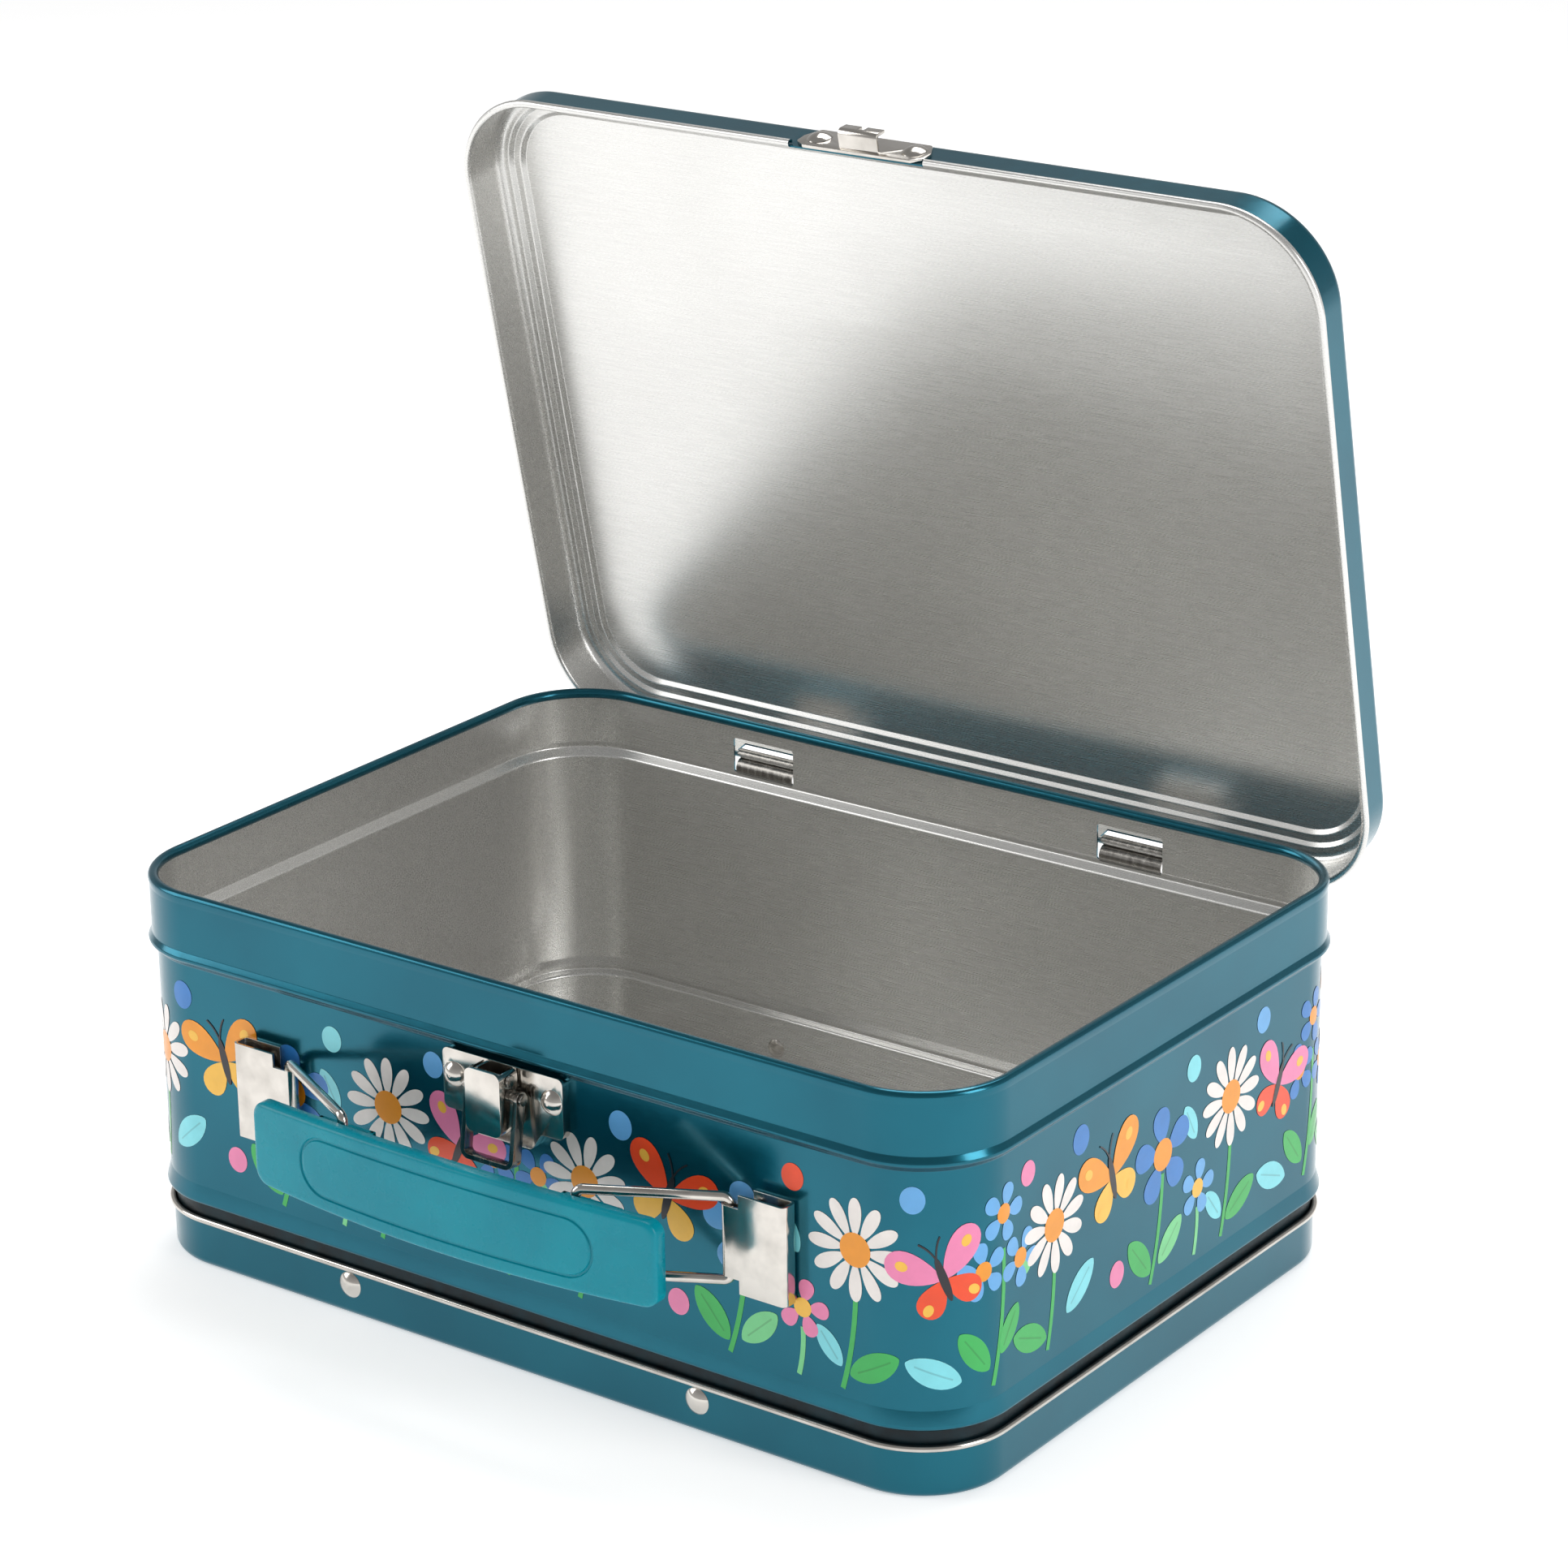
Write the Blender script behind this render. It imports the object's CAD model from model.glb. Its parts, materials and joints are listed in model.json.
import json
from math import atan2, cos, hypot, pi, radians, sin, sqrt
import random

import bmesh
import bpy
from mathutils import Matrix, Vector

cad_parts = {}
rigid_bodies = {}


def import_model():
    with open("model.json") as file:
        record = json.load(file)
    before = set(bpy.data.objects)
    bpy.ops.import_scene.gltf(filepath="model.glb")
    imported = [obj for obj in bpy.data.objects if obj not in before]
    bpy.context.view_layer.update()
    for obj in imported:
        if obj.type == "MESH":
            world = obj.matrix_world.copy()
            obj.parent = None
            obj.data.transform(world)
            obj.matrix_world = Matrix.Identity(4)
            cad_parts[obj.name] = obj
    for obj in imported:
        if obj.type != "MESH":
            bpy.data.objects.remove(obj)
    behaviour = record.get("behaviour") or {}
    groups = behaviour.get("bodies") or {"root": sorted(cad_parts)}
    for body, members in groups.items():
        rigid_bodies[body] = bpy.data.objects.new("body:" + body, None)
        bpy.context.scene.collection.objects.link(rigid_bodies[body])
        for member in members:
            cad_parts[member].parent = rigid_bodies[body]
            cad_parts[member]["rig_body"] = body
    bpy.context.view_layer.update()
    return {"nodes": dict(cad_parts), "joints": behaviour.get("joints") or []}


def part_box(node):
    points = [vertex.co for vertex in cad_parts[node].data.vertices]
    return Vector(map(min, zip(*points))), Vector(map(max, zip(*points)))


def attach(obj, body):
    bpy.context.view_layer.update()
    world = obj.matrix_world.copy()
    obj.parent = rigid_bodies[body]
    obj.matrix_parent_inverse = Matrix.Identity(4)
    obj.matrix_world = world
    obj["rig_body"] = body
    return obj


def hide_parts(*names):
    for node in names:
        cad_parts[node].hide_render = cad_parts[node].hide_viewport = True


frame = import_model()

# A hinged tin lunch box standing open: printed sheet band on a riveted tray, shallow lid on
# lanced hooks, toggle latch, and a turquoise grip on two wire bails.
# Builders work in millimetres, in the frame of the CAD part, and meshes are stored in metres.

MM = 0.001

# ---- sizes, as the CAD part has them ------------------------------------------------------
band_low, band_high = [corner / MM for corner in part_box("body_band")]
sheet = 0.4
half_sheet = sheet / 2
upper_ridge_out = 0.9
box_length = 205.0
box_width = 147.4
half_length = box_length / 2
half_width = box_width / 2
corner_radius = 19.5
rim_top = band_high.z
wall_inset = 1.0
lower_neck_inset = 1.8
band_foot = band_low.z
lower_step_foot = 14.2
lower_ridge_z = 14.9
wall_foot = 18.4
wall_top = 66.8
upper_ridge_z = 68.5
neck_foot = 70.0
rim_roll_radius = 1.1
rim_roll_out = 0.2
rim_roll_turn = 285.0
rim_shoulder = 1.2          # height over which the roll leaves the neck
band_bend = 0.7
dull_top_z = 14.7           # the lacquer is dull below this, inside the tray's edge
cut_margin = 3.0            # cuts reach this far past the sheet they open
root_overlap = 0.3          # joined features start this far inside what carries them
roll_steps = 22

tray_wall_line = -1.45      # middle of the tray's wall, out from the neck's face
tray_bend = 1.6
tray_roll_line = 0.45       # radius of the rolled edge's middle
tray_roll_z = 10.6
tray_roll_turn = 300.0
tray_flat_start = 16.0
tray_bead_outer = 8.5
tray_bead_inner = 14.5
tray_bead_height = 0.7
tray_bead_slope = 1.0
tray_bead_bend = 0.5
bare_edge_z = 9.9           # the tray's sheet is bare above this

joint_of = {joint["name"]: joint for joint in frame["joints"]}
lid_joint = joint_of["lid_hinge"]
hinge_y, hinge_z = [value / MM for value in lid_joint["pos_m"][1:]]
lid_open_angle = -lid_joint["range_deg"][0]
lid_clearance = 0.55
lid_roll_radius = 0.8
lid_roll_turn = 285.0
lid_bend = 0.6
lid_panel_z = 83.2
lid_step = 0.8
lid_edge_radius = 2.2
lid_outer_step = 2.0
lid_inner_step = 4.6
lid_step_slope = 1.0
lid_flat_start = 14.0
flat_rim_half = 16.3
flat_rim_low = 0.3          # the flattened rim ends this far below the roll's centre
window_x = 47.2
window_width = 16.0
window_low = 69.6
window_high = 77.6
window_corner = 0.6
hook_width = 15.0
hook_clearance = 0.07
hook_wrap = 255.0
hook_rise = 1.6             # length of the hook's slope before it bends over
hook_run = 0.9              # length of its level run before the roll
hook_bend_steps = 10
hook_roll_steps = 26
skirt_slot_width = 16.6
skirt_slot_low = 0.1
skirt_slot_high = 3.1
slot_slack = 0.02           # the slots' cutters stand this far off the sheet's faces


# ---- materials ----------------------------------------------------------------------------
class Shader:
    """A Principled material and short ways to feed its sockets from texture nodes."""

    def __init__(self, name, **sockets):
        self.material = bpy.data.materials.new(name)
        self.material.use_nodes = True
        self.nodes = self.material.node_tree.nodes
        self.links = self.material.node_tree.links
        self.surface = self.nodes["Principled BSDF"]
        self.coordinate = self.nodes.new("ShaderNodeTexCoord")
        for socket, value in sockets.items():
            self.surface.inputs[socket.replace("_", " ")].default_value = value

    def stretched(self, scale):
        """Object coordinates scaled by axis, so that a texture stretches into grain."""
        mapping = self.nodes.new("ShaderNodeMapping")
        mapping.inputs["Scale"].default_value = scale
        self.links.new(self.coordinate.outputs["Object"], mapping.inputs["Vector"])
        return mapping.outputs["Vector"]

    def noise(self, scale, detail=3.0, stretch=(1, 1, 1), roughness=0.5):
        texture = self.nodes.new("ShaderNodeTexNoise")
        texture.inputs["Scale"].default_value = scale
        texture.inputs["Detail"].default_value = detail
        texture.inputs["Roughness"].default_value = roughness
        self.links.new(self.stretched(stretch), texture.inputs["Vector"])
        return texture.outputs["Fac"]

    def ramp(self, source, low, high, low_value, high_value):
        """Maps a source range to a value range, clamped."""
        node = self.nodes.new("ShaderNodeMapRange")
        for socket, value in zip(("From Min", "From Max", "To Min", "To Max"),
                                 (low, high, low_value, high_value)):
            node.inputs[socket].default_value = value
        self.links.new(source, node.inputs["Value"])
        return node.outputs["Result"]

    def blend(self, factor, first, second):
        """Mixes two colours; each is a colour or a node output."""
        node = self.nodes.new("ShaderNodeMix")
        node.data_type = "RGBA"
        for socket, value in (("Factor_Float", factor), ("A_Color", first), ("B_Color", second)):
            target = next(s for s in node.inputs if s.identifier == socket)
            if isinstance(value, bpy.types.NodeSocket):
                self.links.new(value, target)
            else:
                target.default_value = value
        return next(s for s in node.outputs if s.identifier == "Result_Color")

    def pointiness(self):
        return self.nodes.new("ShaderNodeNewGeometry").outputs["Pointiness"]

    def colour_attribute(self, name):
        node = self.nodes.new("ShaderNodeVertexColor")
        node.layer_name = name
        return node.outputs["Color"]

    def feed(self, socket, source):
        self.links.new(source, self.surface.inputs[socket])

    def bump(self, height, strength, distance):
        node = self.nodes.new("ShaderNodeBump")
        node.inputs["Strength"].default_value = strength
        node.inputs["Distance"].default_value = distance
        self.links.new(height, node.inputs["Height"])
        self.links.new(node.outputs["Normal"], self.surface.inputs["Normal"])


def rgb(red, green, blue):
    """sRGB bytes to a linear colour."""
    return tuple((value / 255) ** 2.2 for value in (red, green, blue)) + (1.0,)


def lacquered_tin():
    """Teal lacquer over tinplate: satin, half metallic, with faint roller grain."""
    s = Shader("lacquered_tin", Metallic=0.8, Coat_Weight=0.3, Coat_Roughness=0.12)
    cloud = s.noise(28, 4)
    tint = s.blend(s.ramp(cloud, 0.35, 0.65, 0, 1), rgb(10, 91, 109), rgb(15, 100, 118))
    worn = s.ramp(s.pointiness(), 0.53, 0.60, 0, 0.30)
    s.feed("Base Color", s.blend(worn, tint, rgb(110, 165, 178)))
    grain = s.noise(1800, 2, (0.2, 0.2, 1))
    s.feed("Roughness", s.ramp(grain, 0.3, 0.7, 0.18, 0.23))
    s.bump(s.noise(500, 2), 0.02, 0.0001)
    return s.material


def bare_tinplate():
    """Uncoated tinplate inside: bright satin metal with very fine rolling lines."""
    s = Shader("bare_tinplate", Metallic=0.85, Anisotropic=0.35)
    blotch = s.ramp(s.noise(16, 4), 0.35, 0.65, 0, 1)
    lines = s.noise(5200, 3, (0.02, 1, 1))
    bright = s.blend(blotch, rgb(224, 223, 220), rgb(232, 231, 228))
    s.feed("Base Color", s.blend(s.ramp(lines, 0.35, 0.65, 0.0, 0.06), bright, rgb(160, 160, 158)))
    s.feed("Roughness", s.ramp(lines, 0.3, 0.7, 0.25, 0.30))
    s.bump(lines, 0.008, 0.00005)
    return s.material


def bright_plating():
    """Nickel-plated steel: nearly mirror bright, a little warm, with faint smears."""
    s = Shader("bright_plating", Metallic=1.0)
    smear = s.noise(160, 4)
    mottle = s.ramp(smear, 0.4, 0.7, 0, 1)
    s.feed("Base Color", s.blend(mottle, rgb(214, 209, 202), rgb(192, 187, 180)))
    s.feed("Roughness", s.ramp(smear, 0.35, 0.7, 0.13, 0.21))
    s.bump(s.noise(1500, 2), 0.03, 0.0001)
    return s.material


def plain_steel():
    """Blanked steel strip, duller than the plating, with drawn lines."""
    s = Shader("plain_steel", Metallic=1.0)
    drawn = s.noise(900, 3, (1, 1, 0.08))
    streak = s.ramp(drawn, 0.3, 0.7, 0, 1)
    s.feed("Base Color", s.blend(streak, rgb(128, 125, 120), rgb(164, 161, 156)))
    s.feed("Roughness", s.ramp(drawn, 0.3, 0.7, 0.16, 0.30))
    s.bump(drawn, 0.08, 0.0002)
    return s.material


def dull_lacquer():
    """The lacquer where the tools rubbed it dull and dark, under the lower bead."""
    s = Shader("dull_lacquer", Metallic=0.5, Coat_Weight=0.1, Coat_Roughness=0.3)
    smut = s.ramp(s.noise(220, 4), 0.35, 0.65, 0, 1)
    s.feed("Base Color", s.blend(smut, rgb(5, 24, 30), rgb(10, 40, 48)))
    s.feed("Roughness", s.ramp(s.noise(900, 3), 0.3, 0.7, 0.34, 0.46))
    return s.material


def turquoise_plastic():
    """Turquoise moulding, satin, glowing a little along its thin edges."""
    s = Shader("turquoise_plastic", IOR=1.45, Specular_IOR_Level=0.28, Coat_Weight=0.05,
               Coat_Roughness=0.12, Subsurface_Weight=0.1, Subsurface_Scale=0.0015)
    s.surface.inputs["Subsurface Radius"].default_value = (0.2, 1.0, 1.2)
    swirl = s.ramp(s.noise(60, 3), 0.35, 0.65, 0, 1)
    s.feed("Base Color", s.blend(swirl, rgb(0, 134, 152), rgb(4, 143, 160)))
    s.feed("Roughness", s.ramp(s.noise(300, 3), 0.3, 0.7, 0.25, 0.31))
    s.bump(s.noise(1800, 2), 0.03, 0.00005)
    return s.material


def printed_ink():
    """Printed colours over the lacquer, taken from the mesh's ink attribute."""
    s = Shader("printed_ink", Metallic=0.15, Coat_Weight=0.35, Coat_Roughness=0.16)
    ink = s.colour_attribute("ink")
    mottle = s.ramp(s.noise(240, 3), 0.3, 0.7, 0.0, 0.10)
    s.feed("Base Color", s.blend(mottle, ink, (0.0, 0.0, 0.0, 1.0)))
    s.feed("Roughness", s.ramp(s.noise(2400, 2, (0.2, 0.2, 1)), 0.3, 0.7, 0.28, 0.36))
    s.bump(s.noise(900, 2), 0.05, 0.0001)
    return s.material


LACQUER = lacquered_tin()
DULL = dull_lacquer()
TINPLATE = bare_tinplate()
PLATING = bright_plating()
STEEL = plain_steel()
PLASTIC = turquoise_plastic()
INK = printed_ink()


# ---- mesh tools ---------------------------------------------------------------------------
def new_object(name, data):
    thing = bpy.data.objects.new(name, data)
    bpy.context.scene.collection.objects.link(thing)
    return thing


def evaluated_mesh(thing):
    """The object's mesh with its modifiers applied."""
    bpy.context.view_layer.update()
    graph = bpy.context.evaluated_depsgraph_get()
    return bpy.data.meshes.new_from_object(thing.evaluated_get(graph), depsgraph=graph)


def finish_mesh(name, mesh, body, replaced, sharp_angle=35.0):
    """Turns a mesh into a piece that rides on a body and stands for CAD nodes."""
    mesh.set_sharp_from_angle(angle=radians(sharp_angle))
    piece = new_object(name, mesh)
    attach(piece, body)
    if replaced:
        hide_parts(*replaced)
    return piece


def rounded_line(points, radius, steps=5, most=0.48):
    """An open line with its corners rounded; a round takes at most this share of a run."""
    rounded = [Vector(points[0])]
    for before, corner, after in zip(points, points[1:], points[2:]):
        corner = Vector(corner)
        back = Vector(before) - corner
        ahead = Vector(after) - corner
        half_angle = back.angle(ahead) / 2
        setback = min(radius / max(sin(half_angle) / cos(half_angle), 1e-6),
                      most * back.length, most * ahead.length)
        start = corner + back.normalized() * setback
        end = corner + ahead.normalized() * setback
        for step in range(steps + 1):
            t = step / steps
            rounded.append(start.lerp(corner, t).lerp(corner.lerp(end, t), t))
    rounded.append(Vector(points[-1]))
    return rounded


def arc(centre, radius, start_angle, turn, steps):
    """Points round an arc, angles in degrees."""
    return [Vector((centre[0] + radius * cos(radians(start_angle + turn * i / steps)),
                    centre[1] + radius * sin(radians(start_angle + turn * i / steps))))
            for i in range(steps + 1)]


def without_repeats(points, gap=1e-4):
    kept = [points[0]]
    for point in points[1:]:
        if (point - kept[-1]).length > gap:
            kept.append(point)
    return kept


def both_sides(line, thickness):
    """The line's left and right faces, half the thickness away on each side."""
    left, right = [], []
    for i, point in enumerate(line):
        before = line[max(i - 1, 0)]
        after = line[min(i + 1, len(line) - 1)]
        run_in = (point - before).normalized() if i else (after - point).normalized()
        run_out = (after - point).normalized() if i < len(line) - 1 else run_in
        mean = (run_in + run_out).normalized()
        normal = Vector((-mean.y, mean.x)) * thickness / 2 / max(mean.dot(run_in), 0.5)
        left.append(point + normal)
        right.append(point - normal)
    return left, right


def plan_stations(corner_steps=26, straight_step=9.0):
    """Places round the box at the neck's face: point, outward normal and distance along."""
    stations = []
    straight_x = box_length - 2 * corner_radius
    straight_y = box_width - 2 * corner_radius
    place = Vector((-straight_x / 2, -half_width))
    heading = Vector((1, 0))
    distance = -straight_x / 2
    for run in (straight_x, straight_y, straight_x, straight_y):
        count = max(2, round(run / straight_step))
        for i in range(count):
            normal = Vector((heading.y, -heading.x))
            along = run * i / count
            stations.append((place + heading * run * i / count, normal, distance + along))
        end = place + heading * run
        centre = end + Vector((-heading.y, heading.x)) * corner_radius
        start_angle = atan2(-heading.x, heading.y)
        for i in range(corner_steps):
            angle = start_angle + pi / 2 * i / corner_steps
            normal = Vector((cos(angle), sin(angle)))
            travelled = distance + run + corner_radius * pi / 2 * i / corner_steps
            stations.append((centre + normal * corner_radius, normal, travelled))
        turned = Vector((-heading.y, heading.x))
        end_angle = start_angle + pi / 2
        place = centre + Vector((cos(end_angle), sin(end_angle))) * corner_radius
        heading = turned
        distance += run + corner_radius * pi / 2
    return stations


STATIONS = plan_stations()


def swept_sheet(name, line, outside, inside, outside_is_left, close_start=False):
    """Sweeps a sheet's centre line (outward offset, height) round the box.

    With close_start the line's first point is the edge of a flat panel, which is filled in.
    """
    line = without_repeats(line)
    left, right = both_sides(line, sheet)
    loop = left + right[::-1]
    count = len(loop)
    mesh = bpy.data.meshes.new(name)
    vertices = []
    for place, normal, _ in STATIONS:
        for point in loop:
            flat = place + normal * point.x
            vertices.append((flat.x * MM, flat.y * MM, point.y * MM))
    faces, materials = [], []
    side_count = len(left)
    for i in range(len(STATIONS)):
        here, there = i * count, (i + 1) % len(STATIONS) * count
        for j in range(count):
            if close_start and j == count - 1:
                continue
            k = (j + 1) % count
            faces.append((here + j, there + j, there + k, here + k))
            on_left = j < side_count - 1
            on_end = j in (side_count - 1, count - 1)
            is_outside = on_left == outside_is_left
            materials.append(2 if on_end else (0 if is_outside else 1))
    if close_start:
        top = [i * count for i in range(len(STATIONS))]
        bottom = [i * count + count - 1 for i in range(len(STATIONS))]
        faces.append(tuple(top))
        materials.append(0 if outside_is_left else 1)
        faces.append(tuple(bottom[::-1]))
        materials.append(1 if outside_is_left else 0)
    mesh.from_pydata(vertices, [], faces)
    for slot_material in (outside, inside, TINPLATE):
        mesh.materials.append(slot_material)
    mesh.polygons.foreach_set("material_index", materials)
    mesh.polygons.foreach_set("use_smooth", [True] * len(faces))
    tidy = bmesh.new()
    tidy.from_mesh(mesh)
    bmesh.ops.recalc_face_normals(tidy, faces=tidy.faces)
    tidy.to_mesh(mesh)
    tidy.free()
    return mesh


def block(x_range, y_range, z_range, bevel=0.0):
    """A box mesh, in millimetres, with its edges rounded if asked."""
    cutter = bmesh.new()
    bmesh.ops.create_cube(cutter, size=1.0)
    for vertex in cutter.verts:
        for axis, (low, high) in enumerate((x_range, y_range, z_range)):
            vertex.co[axis] = ((low + high) / 2 + vertex.co[axis] * (high - low)) * MM
    if bevel:
        bmesh.ops.bevel(cutter, geom=cutter.edges[:], offset=bevel * MM, segments=4,
                        profile=0.5, affect="EDGES")
    mesh = bpy.data.meshes.new("block")
    cutter.to_mesh(mesh)
    cutter.free()
    return mesh


def cut(mesh, cutters):
    """The mesh less every cutter."""
    subject = new_object("subject", mesh)
    helpers = []
    for cutter in cutters:
        helper = new_object("cutter", cutter)
        helpers.append(helper)
        modifier = subject.modifiers.new("cut", "BOOLEAN")
        modifier.object = helper
        modifier.operation = "DIFFERENCE"
        modifier.solver = "EXACT"
    result = evaluated_mesh(subject)
    for thing in [subject] + helpers:
        bpy.data.objects.remove(thing)
    return result


def joined(meshes):
    """Several meshes as one, with the first one's materials."""
    both = bmesh.new()
    for mesh in meshes:
        both.from_mesh(mesh)
    result = bpy.data.meshes.new("joined")
    both.to_mesh(result)
    both.free()
    for material in meshes[0].materials:
        result.materials.append(material)
    return result


def lid_turn():
    """Turns a shape built shut to the stored open pose."""
    pivot = Vector((0, hinge_y, hinge_z)) * MM
    turn = Matrix.Rotation(radians(-lid_open_angle), 4, "X")
    return Matrix.Translation(pivot) @ turn @ Matrix.Translation(-pivot)


def crisp(node, material, bevel, sharp_angle=35.0, weld=0.002):
    """A CAD node remeshed as one piece with its sharp edges rounded over."""
    source = frame["nodes"][node]
    work = bmesh.new()
    work.from_mesh(source.data)
    bmesh.ops.remove_doubles(work, verts=work.verts, dist=weld * MM)
    bmesh.ops.dissolve_limit(work, angle_limit=radians(1.0), verts=work.verts, edges=work.edges)
    mesh = bpy.data.meshes.new(node + "_crisp")
    work.to_mesh(mesh)
    work.free()
    helper = new_object("helper", mesh)
    rounding = helper.modifiers.new("rounding", "BEVEL")
    rounding.width = bevel * MM
    rounding.segments = 3
    rounding.limit_method = "ANGLE"
    rounding.angle_limit = radians(40)
    rounding.use_clamp_overlap = True
    rounded = evaluated_mesh(helper)
    bpy.data.objects.remove(helper)
    rounded.materials.clear()
    rounded.materials.append(material)
    rounded.polygons.foreach_set("use_smooth", [True] * len(rounded.polygons))
    return finish_mesh(node + "_piece", rounded, source["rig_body"], [node], sharp_angle)


# ---- band ---------------------------------------------------------------------------------
def bead_out(z):
    """Outward offset of the sheet's middle on the upper bead's top slope."""
    slope = upper_ridge_out / (neck_foot - upper_ridge_z)
    return upper_ridge_out - half_sheet - slope * (z - upper_ridge_z)


def band_line():
    walls = rounded_line(
        [
            (-lower_neck_inset - half_sheet, band_foot),
            (-lower_neck_inset - half_sheet, lower_step_foot),
            (-half_sheet, lower_ridge_z),
            (-wall_inset - half_sheet, wall_foot),
            (-wall_inset - half_sheet, wall_top),
            (upper_ridge_out - half_sheet, upper_ridge_z),
            (-half_sheet, neck_foot),
            (-half_sheet, rim_top - rim_roll_radius - rim_shoulder),
            (rim_roll_out - half_sheet, rim_top - rim_roll_radius),
        ],
        band_bend,
    )
    roll_line = rim_roll_radius - half_sheet
    roll_centre = (rim_roll_out - half_sheet - roll_line, rim_top - rim_roll_radius)
    return walls + arc(roll_centre, roll_line, 0, rim_roll_turn, roll_steps)


def hinge_hook(side):
    """One hook: a tongue from the window's lower edge rolled round the lid's edge."""
    hinge_out = lid_clearance + lid_roll_radius
    line_radius = lid_roll_radius + hook_clearance + half_sheet
    start = Vector((bead_out(window_low), window_low))
    below = Vector((bead_out(window_low - root_overlap), window_low - root_overlap))
    bottom = Vector((hinge_out, hinge_z - line_radius))
    rise = start + (start - below).normalized() * hook_rise
    run = bottom - Vector((hook_run, 0))
    line = [below]
    for i in range(hook_bend_steps + 1):
        t = i / hook_bend_steps
        a, b, c = start.lerp(rise, t), rise.lerp(run, t), run.lerp(bottom, t)
        line.append(a.lerp(b, t).lerp(b.lerp(c, t), t))
    line += arc((hinge_out, hinge_z), line_radius, -90, hook_wrap, hook_roll_steps)[1:]
    left, right = both_sides(without_repeats(line), sheet)
    loop = left + right[::-1]
    mesh = bpy.data.meshes.new("hook")
    ends = (side * window_x - hook_width / 2, side * window_x + hook_width / 2)
    vertices = [(x * MM, (half_width + p.x) * MM, p.y * MM) for x in ends for p in loop]
    count = len(loop)
    faces = [(j, (j + 1) % count, count + (j + 1) % count, count + j) for j in range(count)]
    for end in (0, count):
        for j in range(len(left) - 1):
            faces.append((end + j, end + j + 1, end + count - 2 - j, end + count - 1 - j))
    mesh.from_pydata(vertices, [], faces)
    mesh.polygons.foreach_set("use_smooth", [True] * len(faces))
    return mesh


def make_band():
    mesh = swept_sheet("body_band_piece", band_line(), LACQUER, TINPLATE, outside_is_left=False)
    cutters = [
        block((side * window_x - window_width / 2, side * window_x + window_width / 2),
              (half_width - cut_margin, half_width + cut_margin),
              (window_low, window_high), window_corner)
        for side in (-1, 1)
    ]
    mesh = cut(mesh, cutters)
    mesh.materials.append(DULL)
    for polygon in mesh.polygons:
        if polygon.material_index == 0 and polygon.center.z < dull_top_z * MM:
            polygon.material_index = len(mesh.materials) - 1
    hooks = [hinge_hook(side) for side in (-1, 1)]
    mesh.materials.append(STEEL)
    for hook in hooks:
        for polygon in hook.polygons:
            polygon.material_index = len(mesh.materials) - 1
    mesh = joined([mesh] + hooks)
    finish_mesh("band", mesh, "box", ["body_band"])


# ---- tray ---------------------------------------------------------------------------------
def tray_line():
    floor = rounded_line(
        [
            (-tray_flat_start, half_sheet),
            (-tray_bead_inner, half_sheet),
            (-tray_bead_inner + tray_bead_slope, half_sheet + tray_bead_height),
            (-tray_bead_outer - tray_bead_slope, half_sheet + tray_bead_height),
            (-tray_bead_outer, half_sheet),
            (tray_wall_line - tray_bend, half_sheet),
        ],
        tray_bead_bend,
    )
    bend_centre = (tray_wall_line - tray_bend, half_sheet + tray_bend)
    roll_centre = (tray_wall_line + tray_roll_line, tray_roll_z)
    bend = arc(bend_centre, tray_bend, -90, 90, 8)
    return floor + bend + arc(roll_centre, tray_roll_line, 180, -tray_roll_turn, 20)


def make_tray():
    mesh = swept_sheet("base_tray_piece", tray_line(), LACQUER, TINPLATE,
                       outside_is_left=False, close_start=True)
    mesh.materials.append(PLATING)
    for polygon in mesh.polygons:
        if polygon.center.z > bare_edge_z * MM:
            polygon.material_index = len(mesh.materials) - 1
    finish_mesh("tray", mesh, "box", ["base_tray"])


# ---- lid ----------------------------------------------------------------------------------
def lid_line():
    skirt = lid_clearance + half_sheet
    border = lid_panel_z - half_sheet
    panel = rounded_line(
        [
            (-lid_flat_start, border + 2 * lid_step),
            (-lid_inner_step - lid_step_slope, border + 2 * lid_step),
            (-lid_inner_step, border + lid_step),
            (-lid_outer_step - lid_step_slope, border + lid_step),
            (-lid_outer_step, border),
            (skirt - lid_edge_radius, border),
        ],
        lid_bend,
    )
    shoulder_centre = (skirt - lid_edge_radius, border - lid_edge_radius)
    shoulder = arc(shoulder_centre, lid_edge_radius, 90, -90, 10)
    roll_line = lid_roll_radius - half_sheet
    roll = arc((skirt + roll_line, hinge_z), roll_line, 180, lid_roll_turn, roll_steps)
    return panel + shoulder + roll


def make_lid():
    mesh = swept_sheet("lid_piece", lid_line(), LACQUER, TINPLATE, outside_is_left=True,
                       close_start=True)
    skirt_y = half_width + lid_clearance
    cutters = [
        block((side * window_x - skirt_slot_width / 2, side * window_x + skirt_slot_width / 2),
              (skirt_y - slot_slack, skirt_y + sheet + slot_slack),
              (hinge_z + skirt_slot_low, hinge_z + skirt_slot_high))
        for side in (-1, 1)
    ]
    # the roll is pressed flat behind the catch plate
    flat_rim = (-flat_rim_half, flat_rim_half)
    skirt_face_y = -skirt_y - sheet
    rim_foot_z = hinge_z - flat_rim_low
    cutters.append(block(flat_rim, (skirt_face_y - cut_margin, skirt_face_y),
                         (hinge_z - cut_margin / 2, hinge_z + cut_margin / 2)))
    cutters.append(block(flat_rim, (-half_width - cut_margin, -half_width + cut_margin),
                         (rim_foot_z - cut_margin, rim_foot_z)))
    mesh = cut(mesh, cutters)
    mesh.transform(lid_turn())
    finish_mesh("lid", mesh, "lid", ["lid_shell"])


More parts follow.
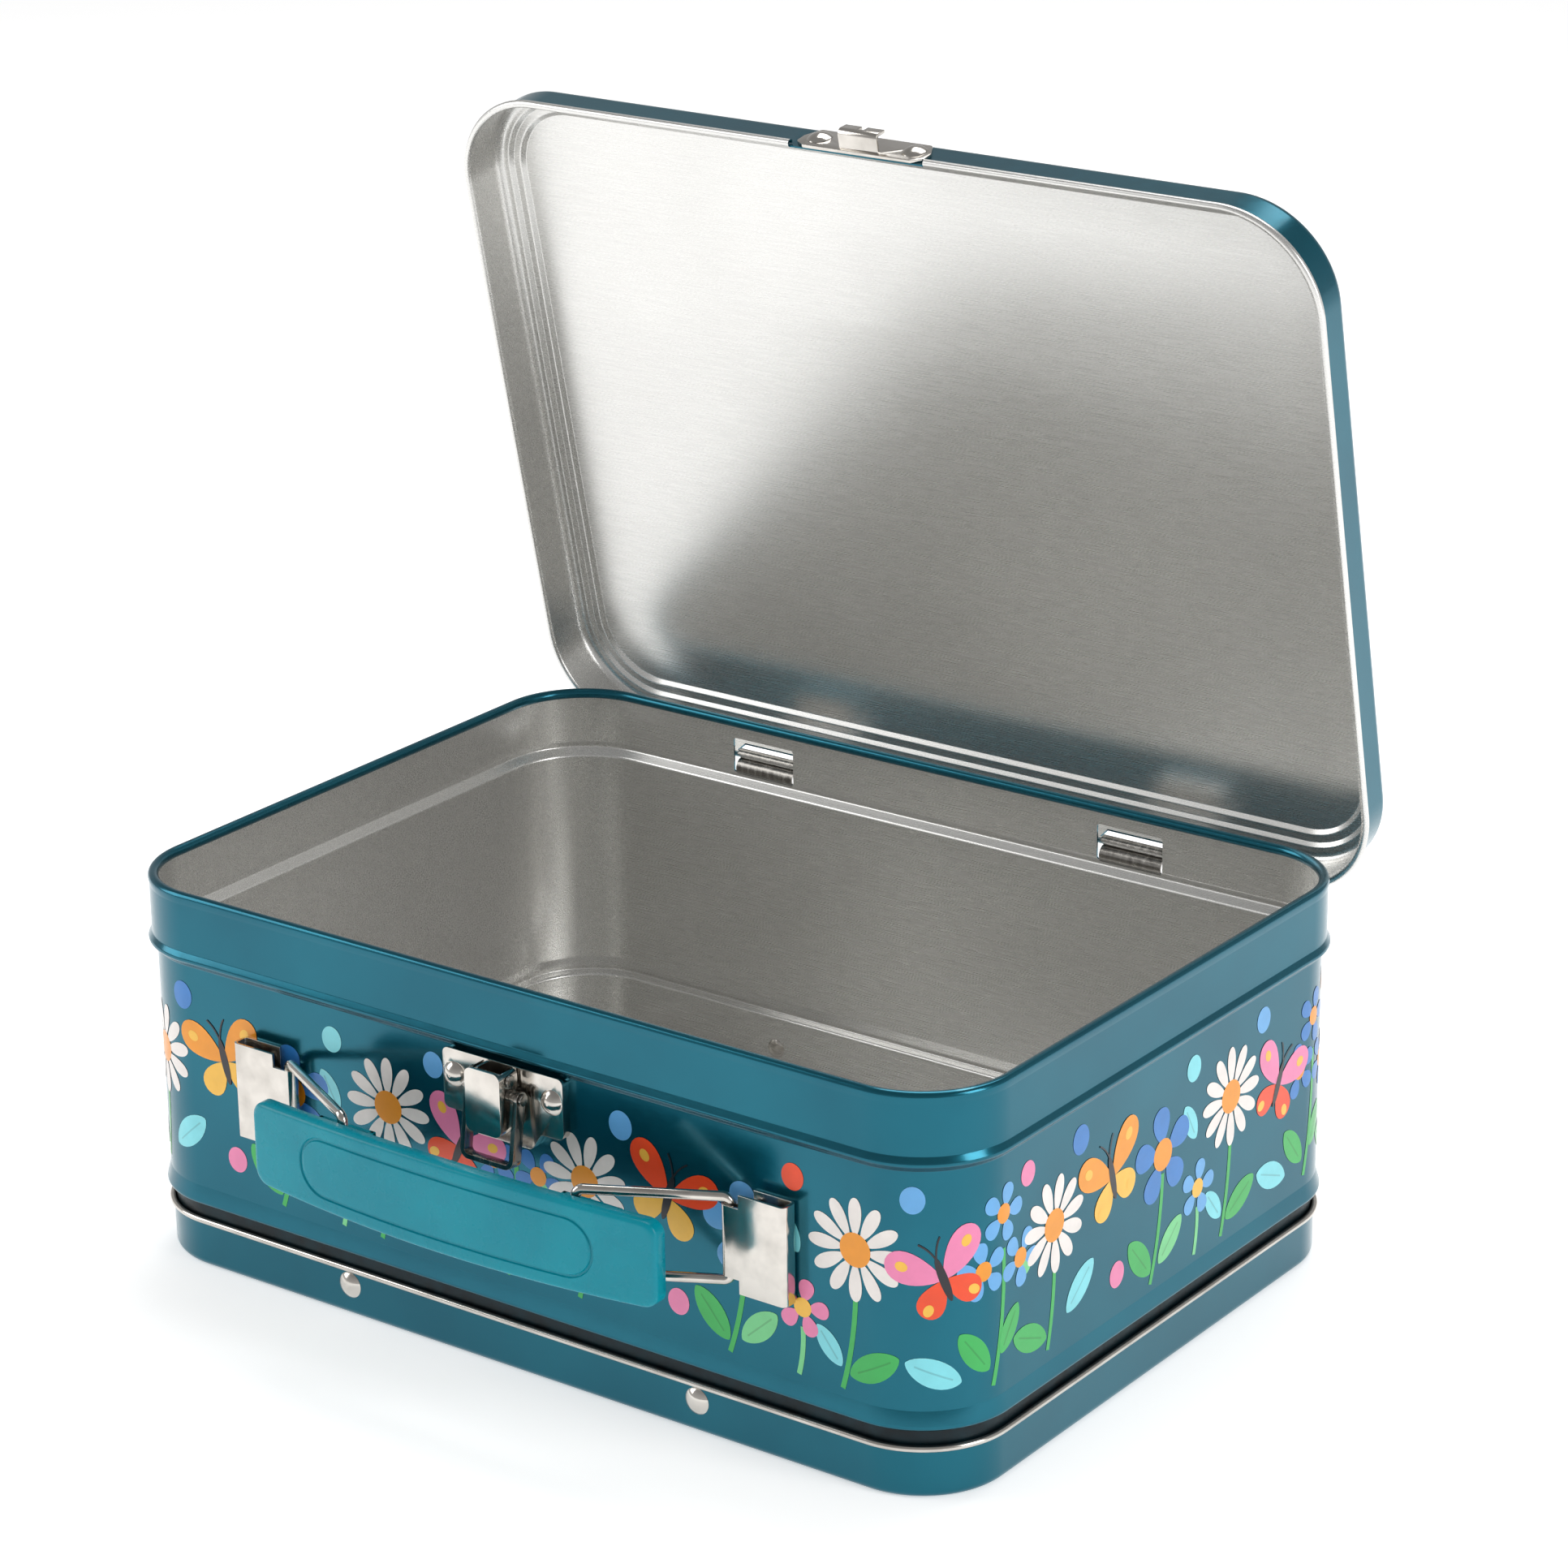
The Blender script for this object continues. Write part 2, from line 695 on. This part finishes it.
# ---- print --------------------------------------------------------------------------------
WHITE = rgb(238, 231, 226)
ORANGE = rgb(240, 150, 28)
RED = rgb(238, 72, 24)
PINK = rgb(238, 132, 176)
SKY = rgb(98, 168, 226)
BLUE = rgb(48, 122, 196)
CYAN = rgb(128, 220, 230)
GREEN = rgb(52, 176, 84)
MINT = rgb(118, 210, 140)
BLACK = rgb(26, 22, 32)
OCHRE = rgb(248, 190, 70)
print_lift = 0.05           # the lowest ink's height over the lacquer
layer_lift = 0.012          # between overlapping inks
shape_lift = 0.0002         # between one shape and the next in a layer
edge_points = 28
ring_shares = (0.0, 0.3, 0.55, 0.8, 1.0)
daisy_petal = 0.185         # width of a petal as a share of its flower's size
round_petal = 0.36
stem_width = 1.1
fine_line = 0.35            # width of a leaf's vein and a butterfly's feeler
print_margin = 1.0          # bare lacquer above and below the wall's print
print_start = -103.0        # where the first stretch begins, from the middle of the front


def ellipse(length, width):
    angles = [2 * pi * i / edge_points for i in range(edge_points)]
    return [Vector((length / 2 * cos(angle), width / 2 * sin(angle))) for angle in angles]


def petal(length, width, root=0.35):
    """A club-shaped petal along +X about its middle, broad and round at its far end."""
    outline = []
    for i in range(edge_points):
        angle = 2 * pi * i / edge_points
        broad = root + (1 - root) * (0.5 + 0.5 * cos(angle)) ** 0.6
        outline.append(Vector((length / 2 * cos(angle), width / 2 * sin(angle) * broad)))
    return outline


def pointed(length, width):
    """A leaf along +X about its middle, pointed at both ends."""
    outline = []
    for i in range(edge_points):
        angle = 2 * pi * i / edge_points
        taper = abs(sin(angle)) ** 0.35
        outline.append(Vector((length / 2 * cos(angle), width / 2 * sin(angle) * taper)))
    return outline


class InkSheet:
    """Gathers flat printed shapes and lays them on a surface given by place(u, v, lift)."""

    def __init__(self, place, low, high):
        self.place, self.low, self.high = place, low, high
        self.vertices, self.faces, self.colours = [], [], []
        self.count = 0

    def next_lift(self, layer):
        """Each shape lies a trace above the last, so that none share a plane."""
        self.count += 1
        return print_lift + layer * layer_lift + self.count % 40 * shape_lift

    def add_point(self, u, v, lift, colour):
        self.vertices.append(self.place(u, min(max(v, self.low), self.high), lift))
        self.colours.append(colour)

    def shape(self, outline, centre, turn, colour, layer):
        """An outline about its middle, turned and moved, filled with rings of faces."""
        lift = self.next_lift(layer)
        first = len(self.vertices)
        for share in ring_shares:
            ring = outline if share else outline[:1]
            for point in ring:
                x, y = point.x * share, point.y * share
                u = centre[0] + x * cos(turn) - y * sin(turn)
                v = centre[1] + x * sin(turn) + y * cos(turn)
                self.add_point(u, v, lift, colour)
        count = len(outline)
        for j in range(count):
            k = (j + 1) % count
            self.faces.append((first, first + 1 + j, first + 1 + k))
            for ring in range(len(ring_shares) - 2):
                inner, outer = first + 1 + ring * count, first + 1 + (ring + 1) * count
                self.faces.append((inner + j, outer + j, outer + k, inner + k))

    def stroke(self, start, bend, end, width, colour, layer, steps=14):
        """A curved stem of even width."""
        lift = self.next_lift(layer)
        first = len(self.vertices)
        start, bend, end = Vector(start), Vector(bend), Vector(end)
        for i in range(steps + 1):
            t = i / steps
            middle = start.lerp(bend, t).lerp(bend.lerp(end, t), t)
            along = ((bend - start) * (1 - t) + (end - bend) * t).normalized()
            across = Vector((-along.y, along.x)) * width / 2
            for point in (middle - across, middle + across):
                self.add_point(point.x, point.y, lift, colour)
        for i in range(steps):
            a = first + 2 * i
            self.faces.append((a, a + 2, a + 3, a + 1))

    def flower(self, u, v, size, petals, colour, heart, petal_width, turn=0.0, layer=2):
        """Petals round a heart; petal_width is a share of the flower's size."""
        for i in range(petals):
            angle = turn + 2 * pi * i / petals
            reach = size * 0.31
            middle = (u + reach * cos(angle), v + reach * sin(angle))
            self.shape(petal(size * 0.38, size * petal_width), middle, angle, colour, layer)
        self.shape(ellipse(size * 0.33, size * 0.33), (u, v), 0, heart, layer + 1)

    def stem(self, u, v, foot_u, foot_v, colour=GREEN):
        middle = ((u + foot_u) / 2 + (v - foot_v) * 0.08, (v + foot_v) / 2)
        self.stroke((u, v), middle, (foot_u, foot_v), stem_width, colour, 0)

    def leaf(self, u, v, length, degrees_up, colour):
        turn = radians(degrees_up)
        self.shape(pointed(length, length * 0.48), (u, v), turn, colour, 1)
        vein = tuple(channel * 0.75 for channel in colour[:3]) + (1.0,)
        half = length * 0.34
        self.stroke((u - half * cos(turn), v - half * sin(turn)), (u, v),
                    (u + half * cos(turn), v + half * sin(turn)), fine_line, vein, 2)

    def dot(self, u, v, size, colour):
        self.shape(ellipse(size, size * 1.1), (u, v), 0, colour, 1)

    def butterfly(self, u, v, size, tilt, upper, lower):
        """Two pairs of wings with pale spots, a dark body and feelers."""
        lean = radians(tilt)
        for side in (-1, 1):
            for angle, reach, long, wide, colour, layer in (
                (38, 0.34, 0.66, 0.46, upper, 4),
                (-44, 0.24, 0.46, 0.40, lower, 3),
            ):
                turn = lean + (radians(angle) if side > 0 else pi - radians(angle))
                middle = (u + size * reach * cos(turn), v + size * reach * sin(turn))
                self.shape(petal(size * long, size * wide, 0.2), middle, turn, colour, layer)
                far = size * (reach + 0.14)
                spot = (u + far * cos(turn), v + far * sin(turn))
                self.shape(ellipse(size * 0.14, size * 0.11), spot, turn, OCHRE, layer + 2)
        self.shape(ellipse(size * 0.52, size * 0.10), (u, v), lean + pi / 2, BLACK, 7)
        for side in (-1, 1):
            head = (u - size * 0.24 * sin(lean), v + size * 0.24 * cos(lean))
            tip_angle = lean + pi / 2 - side * 0.5
            tip = (head[0] + size * 0.26 * cos(tip_angle), head[1] + size * 0.26 * sin(tip_angle))
            bend = ((head[0] + tip[0]) / 2 - side * 0.5, (head[1] + tip[1]) / 2 + 0.6)
            self.stroke(head, bend, tip, fine_line, BLACK, 7, 8)

    def mesh(self, name, transform=None):
        mesh = bpy.data.meshes.new(name)
        mesh.from_pydata(self.vertices, [], self.faces)
        ink = mesh.color_attributes.new("ink", "FLOAT_COLOR", "POINT")
        ink.data.foreach_set("color", [channel for colour in self.colours for channel in colour])
        mesh.materials.append(INK)
        mesh.polygons.foreach_set("use_smooth", [True] * len(self.faces))
        if transform is not None:
            mesh.transform(transform)
        return mesh


def wall_place(u, z, lift):
    """A place on the printed wall at distance u round the box from the middle of the front."""
    straight_x = box_length - 2 * corner_radius
    straight_y = box_width - 2 * corner_radius
    bend = corner_radius * pi / 2
    total = 2 * (straight_x + straight_y) + 4 * bend
    rest = (u + straight_x / 2) % total
    place = Vector((-straight_x / 2, -half_width))
    heading = Vector((1, 0))
    out = lift - wall_inset
    for run in (straight_x, straight_y, straight_x, straight_y):
        outward = Vector((heading.y, -heading.x))
        if rest <= run:
            flat = place + heading * rest + outward * out
            return (flat.x * MM, flat.y * MM, z * MM)
        rest -= run
        place += heading * run
        centre = place - outward * corner_radius
        if rest <= bend:
            angle = atan2(outward.y, outward.x) + rest / corner_radius
            flat = centre + Vector((cos(angle), sin(angle))) * (corner_radius + out)
            return (flat.x * MM, flat.y * MM, z * MM)
        rest -= bend
        place = centre + heading * corner_radius
        heading = -outward
    flat = place + Vector((heading.y, -heading.x)) * out
    return (flat.x * MM, flat.y * MM, z * MM)


def meadow(ink, start, swap):
    """One stretch of the wall's meadow; swap trades colours so that stretches differ."""
    bloom, small = (SKY, PINK) if swap else (BLUE, SKY)
    wing = RED if swap else ORANGE
    ink.stem(start + 9, 44, start + 7, 21)
    ink.leaf(start + 1, 26, 12, 158, GREEN)
    ink.flower(start + 9, 46, 20, 11, WHITE, ORANGE, daisy_petal, 0.2)
    ink.dot(start + 18, 60, 5.5, bloom)
    ink.leaf(start + 18, 30, 12, 40, CYAN)
    ink.butterfly(start + 29, 48, 19, -16 if swap else 14, wing, OCHRE)
    ink.dot(start + 31, 27, 5.0, PINK)
    ink.stem(start + 47, 42, start + 43, 20)
    ink.leaf(start + 39, 27, 12, 130, GREEN)
    ink.leaf(start + 50, 27, 11, 42, MINT)
    ink.flower(start + 47, 46, 20, 5, bloom, ORANGE, round_petal, 0.4)
    ink.dot(start + 58, 60, 5.0, RED if swap else CYAN)
    ink.stem(start + 60, 30, start + 59, 20, MINT)
    ink.flower(start + 60, 34, 12, 5, small, OCHRE, round_petal, 0.1)
    ink.leaf(start + 57, 49, 9, 118, CYAN)
    ink.stem(start + 72, 46, start + 69, 20)
    ink.flower(start + 72, 49, 21, 12, WHITE, ORANGE, 0.17, 0.0)
    ink.leaf(start + 76, 26, 12, 28, GREEN)
    ink.leaf(start + 66, 28, 9, 128, CYAN)
    ink.dot(start + 84, 61, 5.0, SKY)
    ink.butterfly(start + 90, 45, 18, 20 if swap else -24, PINK, RED)
    ink.leaf(start + 88, 26, 12, 158, CYAN)
    ink.stem(start + 104, 48, start + 101, 21, GREEN)
    ink.leaf(start + 96.5, 29, 11, 128, GREEN)
    ink.leaf(start + 106, 31, 10, 56, GREEN)
    for turn, (across, height) in enumerate(((0, 55), (-5.5, 45), (5.5, 44))):
        ink.flower(start + 104 + across, height, 12, 5, bloom, ORANGE, round_petal, 0.5 * turn)
    ink.dot(start + 112, 60, 4.6, PINK if swap else ORANGE)
    ink.dot(start + 111, 42, 4.2, MINT)


def make_wall_print():
    total = 2 * (box_length + box_width) - 8 * corner_radius + 2 * pi * corner_radius
    stretches = 6
    ink = InkSheet(wall_place, wall_foot + print_margin, wall_top - print_margin)
    for i in range(stretches):
        meadow(ink, print_start + i * total / stretches, i % 2 == 1)
    finish_mesh("wall_print", ink.mesh("wall_print"), "box", [], 180)


def make_lid_print():
    """Loose flowers on the lid's raised panel."""
    border = lid_panel_z + 2 * lid_step

    def place(u, v, lift):
        return (u * MM, v * MM, (border + lift) * MM)

    margin = 14.0
    scatter = 2.5
    reach_u = half_length - lid_flat_start - margin
    reach_v = half_width - lid_flat_start - margin
    ink = InkSheet(place, -half_width, half_width)
    chooser = random.Random(7)
    columns, rows = 7, 4
    for row in range(rows):
        for column in range(columns):
            u = reach_u * (2 * column / (columns - 1) - 1) + chooser.uniform(-scatter, scatter)
            v = reach_v * (2 * row / (rows - 1) - 1) + chooser.uniform(-scatter, scatter)
            kind = (column + 2 * row) % 5
            if kind == 0:
                ink.flower(u, v, 19, 11, WHITE, ORANGE, daisy_petal, chooser.uniform(0, 1))
            elif kind == 1:
                ink.leaf(u, v, 11, chooser.uniform(0, 180), CYAN)
                ink.dot(u + 7, v - 6, 4.5, PINK)
            elif kind == 2:
                bloom = chooser.choice((SKY, BLUE))
                ink.flower(u, v, 17, 6, bloom, ORANGE, round_petal, chooser.uniform(0, 1))
            elif kind == 3:
                tilt = chooser.uniform(-30, 30)
                ink.butterfly(u, v, 18, tilt, chooser.choice((RED, ORANGE, PINK)), OCHRE)
            else:
                ink.leaf(u, v, 12, chooser.uniform(0, 180), GREEN)
                ink.dot(u - 7, v + 6, 4.5, SKY)
    finish_mesh("lid_print", ink.mesh("lid_print", lid_turn()), "lid", [], 180)


# ---- hardware -----------------------------------------------------------------------------
def make_hardware():
    for node in ("latch_base_plate", "latch_lever", "lid_catch_plate",
                 "handle_bracket_left", "handle_bracket_right"):
        crisp(node, PLATING, 0.12)
    for node in ("latch_loop", "latch_lever_pin", "latch_loop_pin"):
        crisp(node, STEEL, 0.10)
    for node in ("handle_wire_left", "handle_wire_right", "latch_rivets", "lid_catch_rivets",
                 "tray_rivets_front", "tray_rivets_rear"):
        crisp(node, PLATING, 0.05)
    for node in ("bracket_rivets_left", "bracket_rivets_right"):
        crisp(node, STEEL, 0.05)


# ---- grip ---------------------------------------------------------------------------------
grip_z = 44.1
handle_z = 45.1
grip_half = 49.4
grip_half_height = 9.4
grip_face_y = -95.2
grip_bow = 3.4
grip_depth = 3.4
grip_wall = 2.0
grip_rim = 1.4
grip_corner = 3.0
grip_edge = 0.9             # radius over which the face turns into the sides
grip_taper = 0.08           # how much lower the grip is at its ends
outer_lip = 0.3             # chamfers of the rim's back edge
inner_lip = 0.2
floor_bend_in = 0.6         # the bend between the rim and the face's inside
floor_bend_up = 0.5
face_margin = 0.5           # flat face next to the rounded edge and the groove
groove_half = 36.0
groove_half_height = 6.5
groove_width = 0.5
groove_depth = 0.35
groove_lip_depth = 0.03
pad_half = 10.5
pad_half_height = 7.2
pad_back_y = -90.1
housing_wall = 1.2
housing_half_height = 5.4
housing_set_back = 1.0      # the housings start this far behind the face's inside
rib_inset = 2.6
rib_width = 1.6
rib_depth = 4.2
rib_half_height = 6.5
wire_radius = 1.0
slot_gap = 0.2
ring_corner_points = 8
ring_row_points = 40
seam_half_height = 0.05     # the face closes on itself along a line this narrow
seam_corner = 0.02
back_seam_half = 6.0
face_seam_half = 30.5


def grip_ring(inset_x, inset_z, corner, depth):
    """One closed ring on the bowed grip, this far in from its outline and behind its face."""
    half_x, half_z = grip_half - inset_x, grip_half_height - inset_z
    flat_x, flat_z = half_x - corner, half_z - corner
    corners = ((1, -1, -90), (1, 1, 0), (-1, 1, 90), (-1, -1, 180))
    ring = []
    for i, (side, level, start) in enumerate(corners):
        for step in range(ring_corner_points + 1):
            angle = radians(start + 90 * step / ring_corner_points)
            reach_x, reach_z = corner * cos(angle), corner * sin(angle)
            ring.append((side * flat_x + reach_x, level * flat_z + reach_z))
        if i in (1, 3):
            for step in range(1, ring_row_points):
                ring.append((side * flat_x * (1 - 2 * step / ring_row_points), level * half_z))
    bow_radius = (grip_half ** 2 + grip_bow ** 2) / (2 * grip_bow)
    placed = []
    for x, z in ring:
        bow = bow_radius - sqrt(bow_radius ** 2 - x ** 2)
        lower = 1 - grip_taper * (x / grip_half) ** 2
        placed.append((x * MM, (grip_face_y + bow + depth) * MM, (grip_z + z * lower) * MM))
    return placed


def bail_slot():
    """Near and far X and back Y of the slot in which a bail's far leg runs."""
    hinge = joint_of["bail_right_hinge"]
    pivot_x, pivot_y = hinge["pos_m"][0] / MM, hinge["pos_m"][1] / MM
    turn = radians(hinge["range_deg"][1])
    travel = joint_of["grip_slide"]["range_m"][1] / MM
    wire_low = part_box("handle_wire_right")[0] / MM
    leg_x = pivot_x - wire_low.x - wire_radius
    leg_y = pivot_y - wire_low.y - wire_radius
    reach, angle = hypot(leg_x, leg_y), atan2(leg_y, leg_x)
    lag = travel - reach * (sin(angle + turn) - sin(angle))
    near = pivot_x - reach * cos(angle - turn) - wire_radius - slot_gap
    far = pivot_x - reach * cos(angle + turn) + wire_radius + slot_gap
    return near, far, pivot_y - leg_y + lag + wire_radius + slot_gap


def make_grip():
    groove_x, groove_z = grip_half - groove_half, grip_half_height - groove_half_height
    inner_corner = grip_corner - grip_rim
    seam_inset_z = grip_half_height - seam_half_height
    # a row is the inset from the outline, the corner's radius and the depth behind the face
    rows = [
        (grip_rim + floor_bend_in, inner_corner, grip_wall),
        (grip_rim, inner_corner, grip_wall + floor_bend_up),
        (grip_rim, inner_corner, grip_depth - inner_lip),
        (grip_rim - inner_lip, inner_corner, grip_depth),
        (outer_lip, grip_corner, grip_depth),
        (0.0, grip_corner, grip_depth - outer_lip),
    ]
    for turn in map(radians, range(0, 91, 15)):
        rows.append((grip_edge * (1 - cos(turn)), grip_corner, grip_edge * (1 - sin(turn))))
    rows.append((grip_edge + face_margin, grip_corner, 0.0))
    # a groove row is the inset from the groove's edge, what its corner loses and the depth
    groove_rows = (
        (-face_margin, 0.2, 0.0),
        (-0.12, 0.2, groove_lip_depth),
        (0.06, 0.2, groove_depth),
        (groove_width, 0.7, groove_depth),
        (groove_width + 0.2, 0.9, groove_lip_depth),
        (groove_width + 0.6, 1.3, 0.0),
        (3.5, 4.2, 0.0),
    )
    rings = [grip_ring(grip_half - back_seam_half, seam_inset_z, seam_corner, grip_wall)]
    rings += [grip_ring(inset, inset, corner, depth) for inset, corner, depth in rows]
    rings += [grip_ring(groove_x + inset, groove_z + inset, groove_half_height - less, depth)
              for inset, less, depth in groove_rows]
    rings.append(grip_ring(grip_half - face_seam_half, seam_inset_z, seam_corner, 0.0))
    count = len(rings[0])
    mesh = bpy.data.meshes.new("grip_shell")
    faces = []
    for r in range(len(rings) - 1):
        for j in range(count):
            k = (j + 1) % count
            faces.append((r * count + j, r * count + k, (r + 1) * count + k, (r + 1) * count + j))
    # the first and last rings are closed by a ladder between their upper and lower rows
    for first in (0, (len(rings) - 1) * count):
        for j in range(ring_corner_points + 1, count // 2 + ring_corner_points):
            below = (2 * ring_corner_points + 1 - j) % count
            next_below = (2 * ring_corner_points - j) % count
            faces.append((first + j, first + j + 1, first + next_below, first + below))
    mesh.from_pydata([point for ring in rings for point in ring], [], faces)
    mesh.materials.append(PLASTIC)
    near, far, back = bail_slot()
    inner_y = grip_face_y + grip_wall - root_overlap
    housing_front_y = inner_y + housing_set_back
    housing_back_y = back + housing_wall
    housing_levels = (handle_z - housing_half_height, handle_z + housing_half_height)
    rib_x = grip_half - rib_inset
    rib_front_y = grip_face_y + grip_bow + 2 * root_overlap
    rib_levels = (grip_z - rib_half_height, grip_z + rib_half_height)
    walls = (
        (near - housing_wall, near, housing_front_y, housing_back_y, housing_levels),
        (far, far + housing_wall, housing_front_y, housing_back_y, housing_levels),
        (near - housing_wall, far + housing_wall, back, housing_back_y, housing_levels),
        (rib_x - rib_width / 2, rib_x + rib_width / 2, rib_front_y, rib_front_y + rib_depth,
         rib_levels),
    )
    parts = [mesh, block((-pad_half, pad_half), (inner_y, pad_back_y),
                         (grip_z - pad_half_height, grip_z + pad_half_height), 0.8)]
    for side in (-1, 1):
        for start, end, front, rear, levels in walls:
            parts.append(block(sorted((side * start, side * end)), (front, rear), levels, 0.25))
    whole = joined(parts)
    tidy = bmesh.new()
    tidy.from_mesh(whole)
    bmesh.ops.remove_doubles(tidy, verts=tidy.verts, dist=1e-7)
    bmesh.ops.recalc_face_normals(tidy, faces=tidy.faces)
    tidy.to_mesh(whole)
    tidy.free()
    whole.polygons.foreach_set("use_smooth", [True] * len(whole.polygons))
    finish_mesh("grip", whole, "grip", ["handle_grip"], 50)


# ---- stage --------------------------------------------------------------------------------
camera_place = Vector((0.5389, -0.7128, 0.4301))
camera_azimuth = radians(36.449)
camera_elevation = radians(20.252)
camera_roll = radians(-0.758)
camera_lens = 109.6


def make_camera():
    right = Vector((cos(camera_azimuth), sin(camera_azimuth), 0))
    back = Vector((sin(camera_azimuth) * cos(camera_elevation),
                   -cos(camera_azimuth) * cos(camera_elevation), sin(camera_elevation)))
    up = back.cross(right)
    rolled_right = cos(camera_roll) * right + sin(camera_roll) * up
    rolled_up = -sin(camera_roll) * right + cos(camera_roll) * up
    data = bpy.data.cameras.new("camera")
    data.lens = camera_lens
    data.sensor_width = 36.0
    data.clip_start = 0.01
    camera = new_object("camera", data)
    camera.matrix_world = Matrix.Translation(camera_place) @ Matrix(
        (rolled_right, rolled_up, back)).transposed().to_4x4()
    bpy.context.scene.camera = camera


def soft_light(name, place, target, width, height, power):
    data = bpy.data.lights.new(name, "AREA")
    data.shape = "RECTANGLE"
    data.size = width
    data.size_y = height
    data.energy = power
    light = new_object(name, data)
    light.location = place
    aim = Vector(target) - Vector(place)
    light.rotation_euler = aim.to_track_quat("-Z", "Y").to_euler()


def make_studio():
    """Soft white all round the horizon, darker overhead, with three soft boxes."""
    world = bpy.data.worlds.new("studio")
    bpy.context.scene.world = world
    world.use_nodes = True
    nodes, links = world.node_tree.nodes, world.node_tree.links
    background = nodes["Background"]
    background.inputs["Color"].default_value = (1.0, 1.0, 1.0, 1.0)
    coordinate = nodes.new("ShaderNodeTexCoord")
    split = nodes.new("ShaderNodeSeparateXYZ")
    links.new(coordinate.outputs["Generated"], split.inputs["Vector"])
    height = nodes.new("ShaderNodeMapRange")
    height.interpolation_type = "SMOOTHSTEP"
    limits = {"From Min": 0.05, "From Max": 0.75, "To Min": 0.48, "To Max": 0.28}
    for socket, value in limits.items():
        height.inputs[socket].default_value = value
    links.new(split.outputs["Z"], height.inputs["Value"])
    links.new(height.outputs["Result"], background.inputs["Strength"])
    soft_light("top_light", (-0.1, 0.5, 1.2), (0, 0, 0.1), 0.9, 0.7, 7.5)
    soft_light("left_light", (-1.1, -0.7, 0.7), (0, 0, 0.1), 0.7, 0.9, 6)
    soft_light("right_light", (1.3, 0.0, 0.6), (0, 0, 0.1), 0.5, 0.8, 7)


def make_stage():
    mesh = bpy.data.meshes.new("floor")
    reach = 8.0
    corners = [(-reach, -reach, 0), (reach, -reach, 0), (reach, reach, 0), (-reach, reach, 0)]
    mesh.from_pydata(corners, [], [(0, 1, 2, 3)])
    paper = Shader("white_paper", Roughness=0.8, Emission_Strength=0.5)
    paper.surface.inputs["Emission Color"].default_value = (1.0, 1.0, 1.0, 1.0)
    fibre = paper.noise(30, 3)
    paper.feed("Base Color", paper.blend(fibre, rgb(248, 248, 248), rgb(250, 250, 250)))
    mesh.materials.append(paper.material)
    floor = new_object("floor", mesh)
    make_studio()
    bpy.context.scene.view_settings.view_transform = "Standard"


make_band()
make_tray()
make_lid()
make_wall_print()
make_lid_print()
make_hardware()
make_grip()
make_camera()
make_stage()
